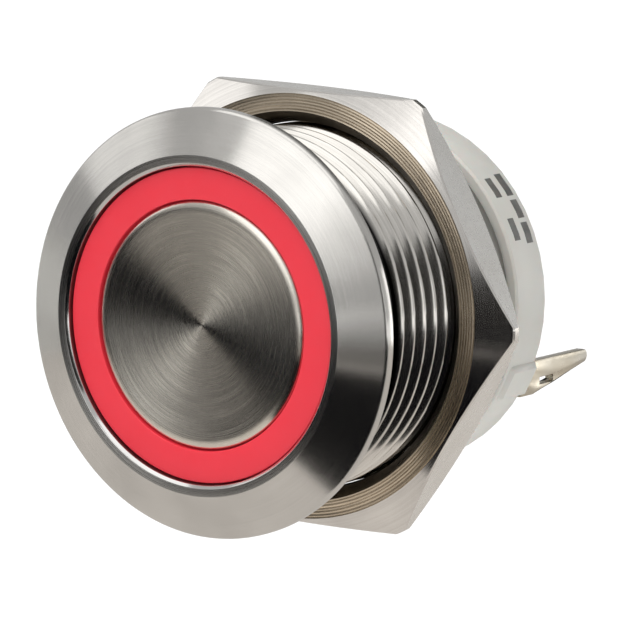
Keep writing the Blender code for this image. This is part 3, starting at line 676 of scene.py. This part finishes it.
def make_nut():
    """Hexagon nut with chamfered corners, turned faces and a threaded bore."""
    corner_start = acos(NUT_ACROSS_FLATS / 2 / NUT_CORNER_RADIUS)
    side = [-pi / 6, -(pi / 6 + corner_start) / 2, -corner_start]
    side += [radians(2 * i) for i in range(-13, 14)]
    side += [corner_start, (pi / 6 + corner_start) / 2]
    angles = [radians(NUT_TURN_DEGREES + 30 + 60 * k) + turn for k in range(6) for turn in side]
    rear = NUT_FRONT + NUT_THICKNESS
    inner = NUT_BORE_RADIUS + NUT_COUNTERSINK
    mark_count = 12
    mark_depth = 0.02 * MM
    chamfer_steps = 6
    bore_steps = 36
    fade_steps = 3

    def ring(radius_of, depth_of):
        row = []
        for angle in angles:
            radius = radius_of(angle)
            across, up = polar(radius, angle)
            row.append(place(across, depth_of(angle, radius), up))
        return row

    def chamfer(radius):
        return max(radius - NUT_FACE_RADIUS, 0.0) * tan(NUT_CHAMFER_ANGLE)

    def chamfer_radius(angle, share):
        return NUT_FACE_RADIUS + (hexagon_radius(angle) - NUT_EDGE - NUT_FACE_RADIUS) * share

    def bore_radius(angle, depth, fade):
        return NUT_BORE_RADIUS + (nut_bore_radius(angle, depth) - NUT_BORE_RADIUS) * fade

    marks = []
    for i in range(mark_count + 1):
        share = i / mark_count
        marks.append((inner + (NUT_FACE_RADIUS - inner) * share, mark_depth * (i % 2)))
    rows = []
    for radius, groove in marks:
        rows.append(ring(lambda a, r=radius: r, lambda a, r, g=groove: NUT_FRONT + g))
    for i in range(1, chamfer_steps + 1):
        rows.append(ring(lambda a, s=i / chamfer_steps: chamfer_radius(a, s),
                         lambda a, r: NUT_FRONT + chamfer(r)))
    rows.append(ring(hexagon_radius, lambda a, r: NUT_FRONT + chamfer(r) + NUT_EDGE))
    rows.append(ring(hexagon_radius, lambda a, r: rear - chamfer(r) - NUT_EDGE))
    for i in range(chamfer_steps, 0, -1):
        rows.append(ring(lambda a, s=i / chamfer_steps: chamfer_radius(a, s),
                         lambda a, r: rear - chamfer(r)))
    for radius, groove in reversed(marks):
        rows.append(ring(lambda a, r=radius: r, lambda a, r, g=groove: rear - g))
    bore_front = NUT_FRONT + NUT_COUNTERSINK
    bore_rear = rear - NUT_COUNTERSINK
    for i in range(bore_steps + 1):
        depth = bore_rear + (bore_front - bore_rear) * i / bore_steps
        fade = min(1.0, i / fade_steps, (bore_steps - i) / fade_steps)
        rows.append(ring(lambda a, d=depth, f=fade: bore_radius(a, d, f),
                         lambda a, r, d=depth: d))
    mesh = grid_mesh("nut", rows, True, radians(18))
    materials = (NUT_STEEL, NUT_FLAT, NUT_FACE, NUT_BORE)
    flat, front_face, bore = range(1, 4)
    for face in mesh.polygons:
        radius = hypot(face.center.x, face.center.z)
        # The countersink and bore take the painted-shade steel
        if radius < inner + 0.005 * MM:
            face.material_index = bore
        elif radius < NUT_FACE_RADIUS:
            face.material_index = front_face
        elif abs(face.normal.y) < 0.1 and radius < NUT_CORNER_RADIUS - 0.03 * MM:
            face.material_index = flat
    add_piece("nut", mesh, materials, "nut", "hex_nut")


# --- rear cap and terminals ---------------------------------------------------------------


def refined_copy(name, node, material, width, segments=2):
    """Copy of a CAD node's mesh on the housing, with rounded edges."""
    shape = bmesh.new()
    shape.from_mesh(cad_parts[node].data)
    bmesh.ops.remove_doubles(shape, verts=shape.verts, dist=1e-6)
    bmesh.ops.dissolve_limit(shape, angle_limit=radians(1), verts=shape.verts, edges=shape.edges)
    mesh = bpy.data.meshes.new(name)
    shape.to_mesh(mesh)
    shape.free()
    mesh.materials.clear()
    piece = add_piece(name, mesh, (material,), "housing", node)
    mesh.shade_smooth()
    bevel = piece.modifiers.new("Edges", "BEVEL")
    bevel.width = width
    bevel.segments = segments
    bevel.limit_method = "ANGLE"
    bevel.angle_limit = radians(40)
    bevel.use_clamp_overlap = True
    bevel.harden_normals = True


def make_rear_pieces():
    """Rear cap and solder blades."""
    refined_copy("rear_cover", "rear_cap", REAR_PLASTIC, 0.1 * MM, 3)
    for node in ("no_terminal", "common_terminal", "nc_terminal",
                 "led_positive_terminal", "led_negative_terminal"):
        refined_copy(f"{node}_blade", node, TERMINAL_METAL, 0.06 * MM)


# --- springs ------------------------------------------------------------------------------


def coil_rows(radius, wire, front, rear, turns):
    """Rings of points along a coil's wire, with a pole at each end. Lengths are in mm."""
    steps_per_turn = 28
    sides = 10
    end_closing = 0.06
    steps = steps_per_turn * turns
    centres = []
    for i in range(steps + 1):
        share = i / steps
        rise = share - end_closing * sin(2 * pi * share)
        x, z = polar(radius * MM, 2 * pi * turns * share)
        depth = front + wire / 2 + (rear - front - wire) * rise
        centres.append(place(x, depth * MM, z))
    rows = [[centres[0]]]
    for i, centre in enumerate(centres):
        along = (centres[min(i + 1, steps)] - centres[max(i - 1, 0)]).normalized()
        outward = Vector((centre.x, 0.0, centre.z)).normalized()
        side = along.cross(outward).normalized()
        outward = side.cross(along)
        row = []
        for j in range(sides):
            across, up = polar(wire / 2 * MM, 2 * pi * j / sides)
            row.append(centre + outward * across + side * up)
        rows.append(row)
    rows.append([centres[-1]])
    return rows


def make_springs():
    """Coil springs on the housing, one for each spring node."""
    for node, (radius, wire, front, rear, turns, anchor, keep) in SPRINGS.items():
        mesh = grid_mesh(f"{node}_coil", coil_rows(radius, wire, front, rear, turns), False,
                         radians(50))
        steel = plain_metal(f"{node}_steel", (0.55, 0.55, 0.55), 0.25)
        piece = add_piece(f"{node}_coil", mesh, (steel,), "housing", node)
        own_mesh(piece)


# --- studio -------------------------------------------------------------------------------


def flat_color(name, color):
    """Studio paper, almost even in colour."""
    paper = moulded(name, color, roughness=0.9, grain=60.0, depth=1e-6,
                    second=tuple(channel * 0.99 for channel in color))
    paper.node_tree.nodes["Principled BSDF"].inputs["Specular IOR Level"].default_value = 0.0
    return paper


def sheet(name, corners, color):
    """Flat sheet of studio paper with this outline, which isn't part of the object."""
    mesh = bpy.data.meshes.new(name)
    mesh.from_pydata(corners, [], [tuple(range(len(corners)))])
    obj = add_object(name, mesh)
    mesh.materials.append(flat_color(f"{name}_paper", color))
    return obj


def card(name, corners, color):
    """Sheet that only reflections see."""
    obj = sheet(name, corners, color)
    obj.visible_camera = False
    obj.visible_shadow = False
    obj.visible_diffuse = False
    return obj


def square(reach, z):
    """Corners of a level square about the origin."""
    return [(-reach, -reach, z), (reach, -reach, z), (reach, reach, z), (-reach, reach, z)]


def around(azimuth, elevation, distance):
    """Point seen from the button in that direction. Azimuth 0 is the front, 90 the right."""
    a, e = radians(azimuth), radians(elevation)
    return Vector((sin(a) * cos(e), -cos(a) * cos(e), sin(e))) * distance


def area_light(name, azimuth, elevation, distance, size, power, lights_matt):
    """Rectangular light that faces the button."""
    light = bpy.data.lights.new(name, "AREA")
    light.shape = "RECTANGLE"
    light.size, light.size_y = size
    light.energy = power
    obj = add_object(name, light)
    obj.location = around(azimuth, elevation, distance)
    obj.rotation_euler = obj.location.to_track_quat("Z", "Y").to_euler()
    obj.visible_camera = False
    obj.visible_diffuse = lights_matt


def make_backdrop():
    """White wall round the floor, for the camera only."""
    count = BACKDROP_SIDES
    ring = [polar(BACKDROP_RADIUS, 2 * pi * i / count) for i in range(count)]
    points = [(x, y, z) for z in (FLOOR_Z, BACKDROP_TOP) for x, y in ring]
    faces = [(i, (i + 1) % count, count + (i + 1) % count, count + i) for i in range(count)]
    mesh = bpy.data.meshes.new("backdrop")
    mesh.from_pydata(points, [], faces)
    wall = add_object("backdrop", mesh)
    paper = flat_color("backdrop_paper", (0.9, 0.9, 0.9))
    shader = paper.node_tree.nodes["Principled BSDF"]
    shader.inputs["Emission Color"].default_value = (1.0, 1.0, 1.0, 1.0)
    shader.inputs["Emission Strength"].default_value = 1.0
    mesh.materials.append(paper)
    wall.visible_diffuse = False
    wall.visible_glossy = False
    wall.visible_transmission = False
    wall.visible_shadow = False


def make_studio():
    """Pale floor, even surroundings, cards for the reflections, and lights."""
    sheet("floor", square(FLOOR_REACH, FLOOR_Z), (0.94, 0.94, 0.94))

    world = bpy.data.worlds.new("studio")
    world.use_nodes = True
    background = world.node_tree.nodes["Background"]
    background.inputs["Color"].default_value = (1.0, 1.0, 1.0, 1.0)
    background.inputs["Strength"].default_value = WORLD_STRENGTH
    bpy.context.scene.world = world
    bpy.context.scene.view_settings.view_transform = "Standard"

    card("front_table", [(x * MM, y * MM, FRONT_TABLE_Z * MM) for x, y in FRONT_TABLE],
         (0.003, 0.003, 0.0035))
    for name, distance, color, outline in SKY_CARDS:
        card(name, [around(*corner, distance) for corner in outline], color)
    shade = card("floor_shade", square(FLOOR_SHADE_REACH, 0.0), (0.49, 0.465, 0.44))
    shade.location.z = FLOOR_SHADE_Z

    for light in AREA_LIGHTS:
        area_light(*light)
    sun = bpy.data.lights.new("sky", "SUN")
    sun.energy = SKY_STRENGTH
    sun.angle = SKY_ANGLE
    sky = add_object("sky", sun)
    toward = around(SKY_AZIMUTH, SKY_ELEVATION, 1.0)
    sky.rotation_euler = toward.to_track_quat("Z", "Y").to_euler()
    sky.visible_glossy = False


def make_camera():
    """Camera at the photograph's viewing angle."""
    a, e = CAMERA_AZIMUTH, CAMERA_ELEVATION
    back = Vector((sin(a) * cos(e), -cos(a) * cos(e), sin(e)))
    right = Vector((cos(a), sin(a), 0.0))
    up = back.cross(right)
    camera = bpy.data.cameras.new("camera")
    camera.lens = CAMERA_LENS
    camera.sensor_width = CAMERA_SENSOR
    camera.clip_start = 0.01
    camera.dof.use_dof = False
    obj = add_object("camera", camera)
    obj.matrix_world = Matrix((right, up, back)).transposed().to_4x4()
    obj.location = (back * CAMERA_DISTANCE + right * CAMERA_SIDE + up * CAMERA_RISE
                    + place(0.0, 0.0, 0.0))
    bpy.context.scene.camera = obj


dress_nodes()
make_bezel()
make_panel_seal()
make_light_ring()
make_button_cap()
make_nut()
make_rear_pieces()
make_springs()
make_backdrop()
make_studio()
make_camera()
